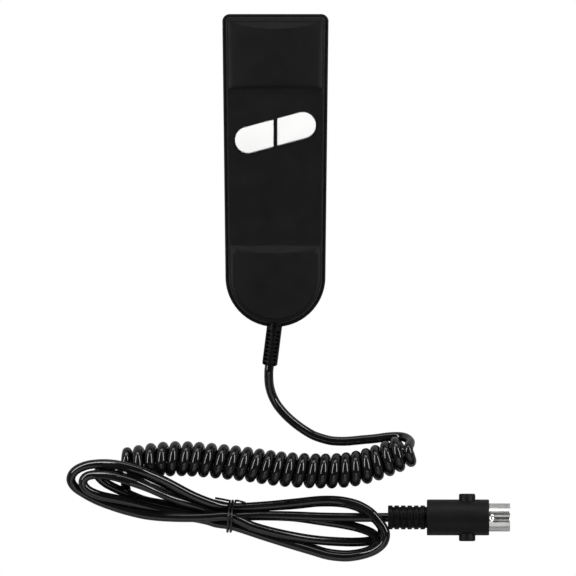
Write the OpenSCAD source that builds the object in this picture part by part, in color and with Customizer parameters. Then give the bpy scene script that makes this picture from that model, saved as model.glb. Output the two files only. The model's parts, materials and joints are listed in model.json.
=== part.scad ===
// Corded hand control for a powered chair: a two-button handset, a coiled cord tied in a hank,
// and a round five-pin plug. It lies on its back. The origin is the centre of the handset's
// flat rear face; X runs across the handset, Y towards its head and Z out of its front face.

/* [Handset] */
// Length of the handset along Y
body_l = 147.2; // [146.2:0.2:148.2]
// Width of the handset across its head
head_w = 50; // [49:0.5:56]
// Width of the handset where its round tail begins
tail_w = 47; // [45:0.5:48]
// Thickness of the handset from the rear face to the top of the crown
body_t = 24; // [23:0.5:27]
// Height of the parting line above the rear face
split_z = 12; // [11.5:0.5:12.5]
// Wall thickness of both shells
wall = 2.2; // [1.8:0.1:2.4]

/* [Buttons] */
// Width of the pair of button caps across their slant
cap_w = 12.28; // [10:0.1:12.4]
// Distance between the centres of the two round cap ends
cap_span = 26.6; // [25:0.1:27]
// Slant of the pair of buttons, right end towards the head
cap_slant = 15.1; // [5:0.1:18]
// Height of the caps above the recessed panel
cap_rise = 1.3; // [1:0.1:2]
// How far a button travels when pressed
press = 0.8; // [0.4:0.1:1]

/* [Cord] */
// Outer diameter of the cord
cord_d = 4.1; // [3.6:0.1:4.1]
// Outer diameter of the coiled stretch
coil_d = 16.2; // [15:0.1:16.6]
// Number of turns in the coiled stretch, counted from its top to its far side
coil_turns = 24.75; // [22.75:1:26.75]

/* [Plug] */
// Outer diameter of the plug's metal shield
shield_d = 13.2; // [13:0.1:13.4]
// Diameter of the circle that the contacts stand on
pin_circle_d = 7; // [6.8:0.1:7]
// Diameter of one contact
pin_d = 1.45; // [1.3:0.05:1.5]
// Diameter of the plug's housing
housing_d = 16.9; // [16.5:0.1:16.9]
// Length of the plug's housing
housing_l = 29.2; // [28:0.1:31]

/* [Hidden] */

gap = 0.05;              // gap between two pieces that fit closely
slack = 0.35;            // gap round a moving cap

// Handset outline
tail_r = tail_w / 2;
tail_y = tail_r - body_l / 2;
head_y = body_l / 2;
corner_r = 3.5;
edge_drop = 1.6;         // how much lower the long edges of the face are than its crown
crown_r = 140;           // radius of the crown across the handset
side_in = 1.75;          // how far the side wall leans in below the edge fillet
edge_in = 4.1;           // how far the face's edge stands in from the parting line
panel_z = body_t - 2.4;
panel_y0 = -35.3;
panel_y1 = 38;
low_ramp = 0.7;          // slope of the panel's lower end
high_ramp = 1.04;        // slope of the panel's upper end
head_ramp_y = 66.7;      // where the crown breaks down towards the head
head_ramp = 0.457;       // slope of that break
band_h = 0.6;            // upright band of the front shell along the parting line
lip_h = 1.5;
lip_t = 0.9;

// Recess for a plain label in the rear face
label_size = [30, 40, 0.4];
label_y = 26;

// Screws that hold the shells together
screw_sites = [[-17.5, 61], [17.5, 61], [-14.5, -46], [14.5, -46]];
screw_r = 1.4;
screw_head_r = 2.7;
screw_head_h = 1.8;
screw_cross = [2.6, 0.7];
screw_seat_z = 5;
boss_r = 3.6;
boss_top_z = body_t - 4.6;
screw_tip_z = boss_top_z - 2;

// Circuit board and its seats
board_size = [36, 46, 1.6];
board_y = 13;
board_z = 8.4;
board_seats = [[-13, -5.5], [13, -5.5], [-13, 32], [13, 32]];
board_screw_r = 1.1;
board_head_r = 2.1;
board_head_h = 1.4;
seat_r = 2.6;

// Switches
button_y = 17.7;
switch_x = 10.6;
switch_dy = 2.6;         // how far a switch stands off the pair's middle along Y
switch_size = [6.4, 12.8, 5.8];
switch_wall = 0.9;
plunger_r = 1.1;
plunger_rise = press + 0.1;
plunger_l = 2.6;
blade_t = 0.2;
terminal_pitch = 5.08;
terminal_size = [0.9, 0.4];

// Button caps
cap_r = cap_w / 2;
cap_bevel = 0.5;         // the step that stands for the rounding round a cap's top
stem_r = 2;
flange_t = 1.2;
flange_out = 0.9;
flange_in = side_in + wall + 1;  // how far the flange keeps in from the handset's outline
divider_w = 1.2;
cap_side = divider_w / 2 + 0.3;  // the caps' inner ends stand this far from the divider's middle

// Boot where the cord leaves the handset, in its own frame: along Z, out of the handset
boot_turn = 7.2;
boot_dip = 8;
boot_r = 3.6;
boot_l = 18.3;
boot_slots = 9;
boot_pitch = 1.9;
boot_web = 1.25;
boot_slot_w = 0.9;
boot_rail = [0.5, 1];    // width and half height of the rail left whole along each side
boot_neck_r = boot_r - 0.6;
boot_flange_r = 5.4;
boot_flange_t = 2;
boot_flange_z = -wall - 3.2;
bore_r = cord_d / 2 + 0.08;
inner_cord_l = 12;
bare_gap = 0.4;          // from the end of the jacket to the start of each conductor

// Cord
cord_r = cord_d / 2;
cord_sides = 8;
cord_step = 4.2;         // length of one straight piece of the cord outside the coil
turn_steps = 12;         // straight pieces in one turn of the coil
coil_r = (coil_d - cord_d) / 2;
coil_z = coil_d / 2;
low = cord_r + 4 * gap;  // height of a strand that lies on the table

// Plug, in its own frame: along Z, from the cord's end to the mouth of the shield
plug_at = [52.9, -163, housing_d / 2 + gap];
plug_boot_l = 18.3;
plug_ribs = 6;
plug_rib_pitch = 3.05;
plug_rib_w = 2.1;
plug_rib_r = 5.65;
plug_groove_r = 5;
shield_l = 9.8;
shield_t = 0.5;
shield_seat = 12;        // how deep the shield sits in the housing
seat_step = 0.2;         // how much smaller the seated part is in radius
housing_end = 2.2;       // thickness of the housing's wall at the cord's end
cavity_r = 5.9;
lug_r = 3.87;
lug_out = 2.7;
lug_foot = [0.35, 0.1];  // width and height of the low collar round the foot of each lug
lug_at = 18.9;
key_w = 4.2;
key_t = 0.4;             // thickness of the key channel's wall
key_x = shield_d / 2 - shield_t;  // from the plug's axis to the channel's axis
pin_inset = 1.5;
shank_r = 0.9;           // radius of a contact inside the insert
insert_l = 8;
insert_at = plug_boot_l + housing_l - 6;
key_at = 2.6;            // where the key channel's round end begins, from the housing's face
plug_l = plug_boot_l + housing_l + shield_l;
jacket_end = 29;
ferrule_l = 4;
ferrule_t = 0.5;
cup_at = insert_at - 3;

// Twist tie
tie_x = -21.4;
tie_wire_r = 0.5;
tie_turns = 2;
tie_pitch = 1.5;
tie_slant = 0.12;
tie_room = 0.5;          // play between the tie and the outer strands
column_y = [-158.25, -162.45, -166.65];  // the three columns of strands under the tie

// ---------- Shared geometry ----------

function arc(c, r, a0, a1, n) = [for (i = [0 : n]) let (a = a0 + (a1 - a0) * i / n)
    [c.x + r * cos(a), c.y + r * sin(a)]];

// The handset's outline, moved inwards by inset: a round tail, tapering sides, a square head
function outline(inset) =
    let (taper = asin((head_w - tail_w) / 2 / (head_y - tail_y)), r = max(corner_r - inset, 0.4),
        cx = head_w / 2 - inset - r, cy = head_y - inset - r)
    concat(arc([0, tail_y], tail_r - inset, 180 + taper, 360 - taper, 40),
        arc([cx, cy], r, -taper, 90, 8), arc([-cx, cy], r, 90, 180 + taper, 8));

module slab(inset, z0, z1) {
    translate([0, 0, z0]) linear_extrude(z1 - z0) polygon(outline(inset));
}

// Part of the handset's solid in front of the parting line, with its skin taken off to a depth
module front_form(skin) {
    fillet_r = edge_in - side_in;
    edge_z = body_t - edge_drop - skin;
    hull() {
        slab(skin, split_z - skin, split_z + band_h);
        for (a = [0 : 30 : 60])
            slab(side_in + fillet_r * (1 - cos(a)) + skin, split_z + band_h,
                edge_z - fillet_r * (1 - sin(a)));
        intersection() {
            slab(edge_in + skin, edge_z - 1, body_t);
            translate([0, 0, body_t - crown_r]) rotate([90, 0, 0])
                cylinder(h = 2 * body_l, r = crown_r - skin, center = true, $fn = 360);
            head_break(skin);
        }
    }
}

// Everything below the sloping face at the head
module head_break(skin) {
    translate([0, head_ramp_y, body_t - skin]) rotate([-atan(head_ramp), 0, 0])
        translate([-head_w, -2 * body_l, -body_t]) cube([2 * head_w, 3 * body_l, body_t]);
}

module rear_form(skin) {
    hull() {
        slab(skin, split_z - 1, split_z + skin);
        slab(0.6 + skin, 3, split_z - 1);
        slab(1.5 + skin, 0.9 + skin / 2, 3);
        slab(3 + skin, skin, 1 + skin);
    }
}

// The recess of the flat panel, with a sloping end at each side
module panel_cut(skin) {
    rise = body_t - panel_z + 1;
    translate([head_w, 0, 0]) rotate([90, 0, -90]) linear_extrude(2 * head_w) polygon([
        [-panel_y0 - skin, panel_z - skin], [-panel_y0 + rise / low_ramp - skin, panel_z + rise - skin],
        [-panel_y1 - rise / high_ramp + skin, panel_z + rise - skin], [-panel_y1 + skin, panel_z - skin]]);
}

// Outline of one button cap, grown by a margin: a round outer end, and an inner end that is
// cut off along Y. side is 1 for the right cap and -1 for the left.
module cap_outline(side, grow, inner) {
    r = cap_r + grow;
    x = side * inner;
    end = side * cap_span / 2 * [cos(cap_slant), sin(cap_slant)] + [0, button_y];
    first = cap_slant - side * 90;
    polygon(concat(arc(end, r, first, first + 180, 32), [for (up = [side, -side])
        [x, button_y + (up * r + x * sin(cap_slant)) / cos(cap_slant)]]));
}

module at_screws() {
    for (p = screw_sites) translate([p.x, p.y, 0]) children();
}

module boot_frame() {
    translate([-0.5, -body_l / 2, split_z]) rotate([0, 0, -boot_turn]) rotate([90 + boot_dip, 0, 0])
        children();
}

module plug_frame() {
    translate(plug_at) rotate([0, 90, 0]) children();
}

// ---------- Swept wires ----------

function unit(v) = v / norm(v);
function mix(a, b, t) = a * (1 - t) + b * t;

// A point between p[1] and p[2] on the smooth curve through four points
function between(p, t) =
    let (k1 = sqrt(norm(p[1] - p[0])), k2 = k1 + sqrt(norm(p[2] - p[1])),
        k3 = k2 + sqrt(norm(p[3] - p[2])), u = mix(k1, k2, t),
        a1 = mix(p[0], p[1], u / k1), a2 = mix(p[1], p[2], (u - k1) / (k2 - k1)),
        a3 = mix(p[2], p[3], (u - k2) / (k3 - k2)),
        b1 = mix(a1, a2, u / k2), b2 = mix(a2, a3, (u - k1) / (k3 - k1)))
    mix(b1, b2, (u - k1) / (k2 - k1));

// Points along the smooth curve through the given places, each piece about step long
function smooth(way, step) =
    let (n = len(way), p = concat([2 * way[0] - way[1]], way, [2 * way[n - 1] - way[n - 2]]))
    concat([for (i = [0 : n - 2]) let (m = max(1, round(norm(way[i + 1] - way[i]) / step)))
        for (j = [0 : m - 1]) between([p[i], p[i + 1], p[i + 2], p[i + 3]], j / m)], [way[n - 1]]);

// Directions along a path, and a side vector at each point that turns as little as possible
function headings(path) = let (n = len(path)) [for (i = [0 : n - 1])
    unit(path[min(i + 1, n - 1)] - path[max(i - 1, 0)])];
function flatten_to(v, d) = unit(v - (v * d) * d);
function side_vectors(dirs) =
    let (start = flatten_to(abs(dirs[0].z) < 0.9 ? [0, 0, 1] : [1, 0, 0], dirs[0]))
    [for (i = 0, v = start; i < len(dirs); i = i + 1,
        v = i < len(dirs) ? flatten_to(v, dirs[i]) : v) v];

// A round wire along a path
module wire(path, r, sides) {
    dirs = headings(path);
    ups = side_vectors(dirs);
    n = len(path);
    rings = [for (i = [0 : n - 1]) let (u = ups[i], v = cross(dirs[i], u))
        for (k = [0 : sides - 1]) let (a = (k + 0.5) * 360 / sides)
            path[i] + r * (cos(a) * u + sin(a) * v)];
    side_faces = [for (i = [0 : n - 2], k = [0 : sides - 1]) let (k1 = (k + 1) % sides,
        a = i * sides + k, b = i * sides + k1) each [[a, a + sides, b + sides], [a, b + sides, b]]];
    ends = [[for (k = [0 : sides - 1]) k], [for (k = [sides - 1 : -1 : 0]) (n - 1) * sides + k]];
    polyhedron(rings, concat(side_faces, ends), convexity = 20);
}

// ---------- Path of the cord ----------

// A place in the boot's own frame, given by its distance along the boot's axis
function boot_point(s) = [-0.5, -body_l / 2, split_z]
    + s * [-sin(boot_turn) * cos(boot_dip), -cos(boot_turn) * cos(boot_dip), -sin(boot_dip)];

// From inside the handset, out through the boot and across the table to the coil
lead_way = [boot_point(-inner_cord_l), boot_point(0), boot_point(boot_l), boot_point(boot_l + 3),
    [-3, -100, 6.6], [-1.8, -105, 4.2], [0.4, -109.5, 2.7], [5.2, -115.3, low], [12.1, -121, low],
    [19, -125, low], [25, -126.8, low], [32.5, -127.3, low], [40.5, -126.6, low],
    [47.2, -126, low], [53, -125.2, low], [57.8, -125, 2.6], [61.4, -125.6, 5.2],
    [63.4, -127.4, 10]];

// The coil's middle line, from its right end to its left
coil_way = [[62.3, -131], [58.5, -132.9], [54.3, -134.6], [49.1, -136.8], [44.4, -138.4], [39, -139.8],
    [34, -140.6], [24.5, -141.2], [3.5, -140.3], [-17, -137.6], [-43, -135.4], [-56, -136],
    [-68.8, -138.2]];
coil_lift = 3;           // how far the lead props up the right end of the coil
coil_axis = smooth(coil_way, 0.5);
coil_even = 0.95;        // share of even winding: below 1 the turns open towards the left

// The coil's middle, at a share t of its length from its right end
function coil_middle(t) =
    let (s = (len(coil_axis) - 1.001) * min(max(t * (coil_even + (1 - coil_even) * t), 0), 1), i = floor(s))
    mix(coil_axis[i], coil_axis[i + 1], s - i);
function coil_point(t) =
    let (c = coil_middle(t), d = unit(coil_middle(min(t + 0.02, 1)) - coil_middle(max(t - 0.02, 0))),
        a = 90 + t * coil_turns * 360)
    [c.x + coil_r * cos(a) * d.y, c.y - coil_r * cos(a) * d.x,
        coil_z + gap + coil_lift * max(0, 1 - 6 * t) ^ 2 + coil_r * sin(a)];
coil_path = [for (i = [0 : turn_steps * coil_turns]) coil_point(i / (turn_steps * coil_turns))];

// The place of a strand under the tie, by its column and its layer. The tie's own wire runs
// underneath and lifts the bundle.
function tied(column, layer) = [tie_x, column_y[column],
    cord_r + 2 * tie_wire_r + 5 * gap + layer * (cord_d + gap)];

// Out of the coil's left end and under the bundle
coil_exit = [[-70.4, -137, 11.2], [-70.8, -141.5, 9], [-70.7, -146, 5.8], [-70.2, -150, 3],
    [-69, -154, low], [-65.5, -158.4, low], [-59, -161.2, low], [-50, -162.8, low],
    [-38, -163.3, low], [-28, -165.5, low]];
// Low round the right end, inside the outer loop, and back
right_low = [tied(2, 0), [-5.6, -170.9, low], [5.5, -174.2, low], [17.9, -177.8, low],
    [24, -179.7, low], [33.6, -180.7, low], [41.2, -179.6, 3], [46.2, -177.7, 4.6],
    [48.2, -174.6, 6.4], [46.8, -171.4, 6.6], [41, -168.5, 5.2], [32.7, -166.5, 3.7],
    [21, -164.7, 2.4], [8, -162.9, low], [-8, -162.4, low], tied(1, 0)];
// The small loop at the left, which climbs over the end of the coil
left_small = [[-28, -161.1, low], [-36, -158.9, low], [-45, -158.3, low], [-53.3, -156.7, 2.6],
    [-61.3, -155.2, 4.6], [-68.4, -152.4, 6.7], [-75, -149.4, 8.2], [-80.4, -146.4, 9.6],
    [-83.6, -143.2, 10.8], [-82.4, -140.5, 11.6], [-78.3, -139.9, 12.2], [-74, -140.6, 13.2],
    [-69.5, -142.1, 15.9], [-64.5, -144.2, 16.9], [-59.5, -146.3, 14.8], [-51.9, -149.8, 10.4],
    [-44.9, -153.2, 7], [-36, -155.4, 5.3], [-28, -156.9, 3.5]];
// Round the right end on the table and back over the others
right_inner = [tied(0, 0), [-3.5, -157.9, low], [10.4, -157, low], [19.5, -156, low],
    [25, -155.9, low], [32.7, -156.5, low], [39.4, -158.5, low], [44, -161.3, low],
    [48, -165, low], [50.4, -169, low], [48.2, -173, low], [43, -174.4, low],
    [37.4, -174.7, low], [29.4, -174.5, 2.8], [18.6, -173.6, 4.9], [6.8, -171.6, 8],
    [-4, -169.1, 9.9], [-12, -166.6, 10.9], tied(1, 2) + [0, 0, 0.1]];
// The large loop at the left
left_large = [[-30, -162.7, 10.9], [-37.5, -163, 10.9], [-45, -163, 10.8], [-53, -162.7, 9.9],
    [-61.3, -161.8, 8.9], [-71, -159.5, 7.9], [-77.5, -157.4, 7.5], [-83.8, -155, 7.4],
    [-89.5, -152, 7.6], [-94.3, -148.8, 8.5], [-96.3, -144.9, 10.2], [-94.2, -141, 12],
    [-89.5, -138.7, 13.6], [-81.1, -137.6, 15.8], [-73, -138.3, 18.3], [-63.7, -140.9, 19.4],
    [-57.5, -143.3, 17.6], [-51.6, -146, 15.6], [-46.7, -148.6, 14.2], [-38.8, -152.8, 12],
    [-28.8, -156.7, 9.8]];
// The large loop at the right, over the lead of the plug
right_large = [tied(0, 1), [-8, -157.8, 7.1], [10.4, -156.1, 6.5], [19.5, -155.1, 7],
    [26, -154.9, 7.9], [32.7, -155.5, 9.2], [39.7, -157.5, 11], [44.6, -160.4, 12.6],
    [48.2, -164.2, 13.1], [50.9, -168, 12.7], [51.8, -171.3, 12], [50.6, -175.2, 10.9],
    [46.6, -178.5, 9.2], [41.8, -180.3, 7.5], [33.6, -181.7, 6.5], [23.9, -180.7, 6.4],
    [17.9, -178.9, 6.4], [5.5, -175.2, 6.3], [-5.6, -171.7, 6.4], tied(2, 1)];
// The second loop at the left, then the lead of the plug
left_second = [[-28, -165.7, 6.4], [-35, -163.3, 6.4], [-41, -161.9, 6.6], [-47, -160.8, 6.9],
    [-53.3, -159.4, 7.1], [-59.5, -158, 7.8], [-68.4, -155.7, 9.8], [-76.8, -153.9, 11],
    [-83.1, -152.4, 11.6], [-88, -150.2, 12.5], [-90.5, -146.9, 13.5], [-89.2, -143.9, 14.5],
    [-85.5, -142.8, 15.2], [-81.1, -142.7, 16.6], [-74, -144, 18.8], [-66.8, -146.3, 20.6],
    [-59.3, -149, 18.3], [-52.4, -152.1, 14.4], [-45.8, -154.9, 11.2], [-36, -158, 8.55],
    [-28, -161.1, 6.8]];
plug_lead = [tied(1, 1), [-8, -162.1, 6.55], [8, -162.3, 6.6], [21, -162.8, 7.1],
    [34, -163, 7.9], [44, -163, plug_at.z], [plug_at.x, plug_at.y, plug_at.z],
    [plug_at.x + 14, plug_at.y, plug_at.z], [plug_at.x + jacket_end, plug_at.y, plug_at.z]];

hank_way = concat(coil_exit, right_low, left_small, right_inner, left_large, right_large,
    left_second, plug_lead);
lead_path = smooth(concat(lead_way, [coil_path[0], coil_path[1]]), cord_step);
hank_path = smooth(concat([coil_path[len(coil_path) - 1]], hank_way), cord_step);
cord_path = concat([for (i = [0 : len(lead_path) - 3]) lead_path[i]],
    coil_path, [for (i = [1 : len(hank_path) - 1]) hank_path[i]]);

// ---------- Handset ----------

module boss_pillars(z0, z1, r) {
    at_screws() translate([0, 0, z0]) cylinder(h = z1 - z0, r = r, $fn = 48);
}

module front_shell() color([0.12, 0.12, 0.125]) difference() {
    union() {
        difference() {
            front_form(0);
            difference() {
                front_form(wall);
                panel_cut(wall);
            }
        }
        intersection() {
            union() {
                boss_pillars(split_z, boss_top_z + 1, boss_r);
                boot_block();
            }
            front_form(wall / 2);
            translate([-head_w, -body_l, split_z]) cube([2 * head_w, 2 * body_l, body_t]);
        }
    }
    panel_cut(0);
    // openings for the two caps, with the divider left between them
    for (side = [-1, 1]) translate([0, 0, panel_z - wall - 1])
        linear_extrude(wall + 2) cap_outline(side, slack, divider_w / 2);
    // rebate for the rear shell's lip
    difference() {
        slab(wall - lip_t - gap, split_z - 1, split_z + lip_h + gap);
        slab(wall + 1, split_z - 2, split_z + lip_h + 1);
    }
    boss_pillars(split_z - 1, boss_top_z - 0.8, screw_r + 0.02);
    boot_envelope(gap);
}

module rear_shell() color([0.11, 0.11, 0.115]) difference() {
    union() {
        difference() {
            rear_form(0);
            rear_form(wall);
        }
        difference() {
            slab(wall - lip_t, split_z - 2, split_z + lip_h);
            slab(wall, split_z - 3, split_z + lip_h + 1);
        }
        intersection() {
            union() {
                boss_pillars(1, split_z + 1, boss_r + 1.2);
                boot_block();
            }
            rear_form(wall / 2);
            translate([-head_w, -body_l, 0]) cube([2 * head_w, 2 * body_l, split_z]);
        }
        for (p = board_seats) translate([p.x, p.y, wall - 1])
            cylinder(h = board_z - wall + 1, r = seat_r, $fn = 48);
    }
    // wells for the screws, and the holes through their seats
    boss_pillars(-1, screw_seat_z, screw_head_r + 0.3);
    boss_pillars(screw_seat_z - 1, split_z + 1, screw_r + 0.2);
    for (p = board_seats) translate([p.x, p.y, wall + 0.6])
        cylinder(h = board_z, r = board_screw_r + 0.02, $fn = 32);
    // shallow recess for a plain label
    translate([-label_size.x / 2, label_y - label_size.y / 2, -1]) cube(label_size + [0, 0, 1]);
    boot_envelope(gap);
}

module shell_screws() color([0.62, 0.63, 0.65]) at_screws() {
    translate([0, 0, screw_seat_z]) cylinder(h = screw_tip_z - screw_seat_z, r = screw_r, $fn = 32);
    difference() {
        translate([0, 0, screw_seat_z - screw_head_h])
            cylinder(h = screw_head_h, r = screw_head_r, $fn = 48);
        for (a = [0, 90]) translate([0, 0, screw_seat_z - screw_head_h]) rotate(a)
            cube([screw_cross.x, screw_cross.y, screw_head_h], center = true);
    }
}

// One button: a cap, a flange that holds it under the panel, and a stem down to its switch
module button(side) {
    top = panel_z + cap_rise;
    under = panel_z - wall - 0.1;
    switch_top = board_z + board_size.z + switch_size.z + plunger_rise;
    color([0.95, 0.95, 0.94]) {
        translate([0, 0, under - flange_t]) linear_extrude(top - cap_bevel - under + flange_t)
            cap_outline(side, 0, cap_side);
        translate([0, 0, under]) linear_extrude(top - under)
            cap_outline(side, -cap_bevel / 2, cap_side + cap_bevel / 2);
        translate([0, 0, under - flange_t]) linear_extrude(flange_t) intersection() {
            cap_outline(side, slack + flange_out, 0.3);
            polygon(outline(flange_in));
        }
        translate([side * switch_x, button_y + side * switch_dy, switch_top + gap])
            cylinder(h = under - flange_t - switch_top, r = stem_r, $fn = 32);
    }
}

module button_left() button(-1);
module button_right() button(1);

// ---------- Board and switches ----------

module at_switch(side) {
    translate([side * switch_x, button_y + side * switch_dy, board_z + board_size.z]) children();
}

module terminal_row(grow, z0, z1) {
    for (i = [-1 : 1]) translate([0, i * terminal_pitch, (z0 + z1) / 2])
        cube([terminal_size.x + 2 * grow, terminal_size.y + 2 * grow, z1 - z0], center = true);
}

module circuit_board() color([0.1, 0.36, 0.2]) difference() {
    translate([-board_size.x / 2, board_y - board_size.y / 2, board_z]) cube(board_size);
    for (p = board_seats) translate([p.x, p.y, board_z - 1])
        cylinder(h = board_size.z + 2, r = board_screw_r + 0.2, $fn = 32);
    for (side = [-1, 1]) at_switch(side) terminal_row(gap, -board_size.z - 1, 1);
}

module board_screws() color([0.7, 0.7, 0.72]) for (i = [0, 1])
    translate([board_seats[i].x, board_seats[i].y, 0]) {
        translate([0, 0, wall + 1]) cylinder(h = board_z + board_size.z - wall - 1,
            r = board_screw_r, $fn = 32);
        difference() {
            translate([0, 0, board_z + board_size.z])
                cylinder(h = board_head_h, r = board_head_r, $fn = 32);
            translate([0, 0, board_z + board_size.z + board_head_h])
                cube([3, 0.6, board_head_h], center = true);
        }
    }

module switch_case(side) {
    s = switch_size;
    color([0.16, 0.16, 0.18]) at_switch(side) difference() {
        translate([-s.x / 2, -s.y / 2, gap]) cube([s.x, s.y, s.z - gap]);
        translate([-s.x / 2 + switch_wall, -s.y / 2 + switch_wall, switch_wall + 0.6])
            cube([s.x - 2 * switch_wall, s.y - 2 * switch_wall, s.z - 2 * switch_wall - 0.6]);
        translate([0, 0, s.z / 2]) cylinder(h = s.z, r = plunger_r + 0.04, $fn = 32);
        terminal_row(gap, -1, 2);
    }
}

module switch_case_left() switch_case(-1);
module switch_case_right() switch_case(1);

module switch_plunger(side) {
    color([0.75, 0.2, 0.15]) at_switch(side)
        translate([0, 0, switch_size.z + plunger_rise - plunger_l])
            cylinder(h = plunger_l, r = plunger_r, $fn = 32);
}

module switch_plunger_left() switch_plunger(-1);
module switch_plunger_right() switch_plunger(1);

// The sprung contact strip, bowed between the end terminals
module switch_blade(side) {
    color([0.85, 0.7, 0.35]) at_switch(side) translate([-1.2, 0, 0])
        rotate([90, 0, 90]) linear_extrude(2.4) polygon(concat(
            [for (i = [-4 : 4]) [i * 1.2, 2.35 + 0.35 * cos(i * 22.5)]],
            [for (i = [4 : -1 : -4]) [i * 1.2, 2.35 - blade_t + 0.35 * cos(i * 22.5)]]));
}

module switch_blade_left() switch_blade(-1);
module switch_blade_right() switch_blade(1);

module switch_terminals() color([0.8, 0.8, 0.78])
    for (side = [-1, 1]) at_switch(side) terminal_row(0, -board_size.z - 1.2, 2);

// ---------- Cord ----------

// The boot's flange and neck, which the two shells close on
module boot_envelope(grow) {
    boot_frame() {
        translate([0, 0, -inner_cord_l]) cylinder(h = 2 * inner_cord_l, r = boot_neck_r + grow, $fn = 48);
        translate([0, 0, boot_flange_z - grow])
            cylinder(h = boot_flange_t + 2 * grow, r = boot_flange_r + grow, $fn = 48);
    }
}

// The block of material inside the tail of each shell that the boot's flange sits in
module boot_block() {
    translate([-8, -body_l / 2, 0]) cube([16, wall + 6, body_t]);
}

module cord_boot() color([0.1, 0.1, 0.1]) boot_frame() difference() {
    union() {
        translate([0, 0, -wall - 6]) cylinder(h = wall + 7, r = boot_neck_r, $fn = 48);
        translate([0, 0, boot_flange_z]) cylinder(h = boot_flange_t, r = boot_flange_r, $fn = 48);
        translate([0, 0, 0.9]) cylinder(h = boot_l - 1.7, r = boot_r, $fn = 48);
        translate([0, 0, boot_l - 0.9]) cylinder(h = 0.9, r = boot_r - 0.5, $fn = 48);
    }
    translate([0, 0, -wall - 8]) cylinder(h = boot_l + wall + 9, r = bore_r, $fn = 48);
    // slots in front and behind, on both sides of a web down the middle
    slot_l = boot_r - boot_rail.x - boot_web / 2;
    for (i = [0 : boot_slots - 1], side = [-1, 1], face = [-1, 1])
        translate([side * (boot_web + slot_l) / 2, face * (boot_rail.y + boot_r / 2),
                   1.9 + i * boot_pitch])
            cube([slot_l, boot_r, boot_slot_w], center = true);
}

module cord_jacket() color([0.08, 0.08, 0.08]) wire(cord_path, cord_r, cord_sides);

// The bare end of one conductor in the handset, and its other end in the plug
module conductor(i, paint) {
    inner = boot_point(-inner_cord_l - bare_gap);
    spread = 1.15 * [cos(90 + 72 * i), 0, sin(90 + 72 * i)];
    pad = [(i - 2) * 3.4, board_y - board_size.y / 2 + 3, board_z + board_size.z + 0.5];
    a = pin_angle(i);
    core = [plug_at.x + jacket_end + bare_gap, plug_at.y, plug_at.z];
    cup = [plug_at.x + cup_at - 2 * gap, plug_at.y, plug_at.z] + pin_circle_d / 2 * [0, cos(a), sin(a)];
    start = core + [0, 1.2 * cos(a), 1.2 * sin(a)];
    color(paint) {
        wire(smooth([inner + spread, inner + spread * 1.5 + [0, 6, 0],
            [pad.x, pad.y - 16, inner.z - 1], [pad.x, pad.y - 6, pad.z + 1.2], pad,
            pad + [0, 2, 0]], 5), 0.45, 6);
        wire(smooth([start, start + [1, 0, 0], cup - [1, 0, 0], cup], 2), 0.45, 6);
    }
}

module conductor_red() conductor(0, [0.7, 0.1, 0.08]);
module conductor_black() conductor(1, [0.06, 0.06, 0.06]);
module conductor_white() conductor(2, [0.9, 0.9, 0.88]);
module conductor_green() conductor(3, [0.1, 0.45, 0.18]);
module conductor_yellow() conductor(4, [0.85, 0.72, 0.1]);

// One turn of the tie round the bundle, as places in Y and Z, from its near side over the top
function tie_ring() =
    let (r = cord_r + tie_wire_r + tie_room, q = r * sqrt(0.5), floor_z = tie_wire_r + gap,
        y1 = column_y[0], y2 = column_y[1], y3 = column_y[2], z1 = tied(0, 0).z,
        z2 = tied(0, 1).z, z3 = tied(0, 2).z + 2 * gap)
    [[y1 + r, (z1 + z2) / 2], [y1 + r, z2], [y1 + q, z2 + q], [y2 + q, z3 + q], [y2, z3 + r],
        [y2 - q, z3 + q], [y3 - q, z2 + q], [y3 - r, z2], [y3 - r, z1], [y3 - q, z1 - q],
        [y3, floor_z], [y1, floor_z], [y1 + q, z1 - q], [y1 + r, z1]];

// A thin wire in a plastic coat, wrapped twice round the bundle, with its two ends standing off
module twist_tie() color([0.05, 0.05, 0.05]) {
    ring = tie_ring();
    n = len(ring);
    y1 = column_y[0];
    turns = [for (i = [0 : tie_turns * n]) let (p = ring[i % n])
        [tie_x - 1.1 + tie_slant * (p.x - column_y[1]) + tie_pitch * i / n, p.x, p.y]];
    wire(concat([[tie_x - 6.8, y1 + 4.3, 5.9], [tie_x - 4, y1 + 3.8, 5.6]], turns,
        [[tie_x + 3.6, y1 + 3.1, 7.6], [tie_x + 5.4, y1 + 2.7, 8.7], [tie_x + 7.2, y1 + 2.1, 9]]),
        tie_wire_r, 6);
}

// ---------- Plug ----------

function pin_angle(i) = 270 + (i - 2) * 45;

module plug_boot() color([0.1, 0.1, 0.1]) plug_frame() difference() {
    union() {
        cylinder(h = plug_boot_l - gap, r = plug_groove_r, $fn = 48);
        for (i = [0 : plug_ribs - 1]) translate([0, 0, i * plug_rib_pitch])
            cylinder(h = plug_rib_w, r = plug_rib_r, $fn = 48);
    }
    translate([0, 0, -1]) cylinder(h = plug_boot_l + 2, r = bore_r, $fn = 48);
}

module plug_housing() color([0.13, 0.13, 0.13]) plug_frame() difference() {
    union() {
        translate([0, 0, plug_boot_l]) cylinder(h = housing_l, r = housing_d / 2, $fn = 96);
        for (side = [-1, 1]) translate([0, 0, plug_boot_l + lug_at]) rotate([side * 90, 0, 0]) {
            cylinder(h = housing_d / 2 + lug_out, r = lug_r, $fn = 64);
            cylinder(h = housing_d / 2 + lug_foot.y, r = lug_r + lug_foot.x, $fn = 64);
        }
    }
    translate([0, 0, plug_boot_l - 1]) cylinder(h = housing_l, r = bore_r, $fn = 48);
    translate([0, 0, plug_boot_l + housing_end]) cylinder(h = housing_l, r = cavity_r, $fn = 64);
    translate([0, 0, plug_boot_l + housing_l - shield_seat])
        cylinder(h = shield_seat + 1, r = shield_d / 2 - seat_step + 0.02, $fn = 96);
}

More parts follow.
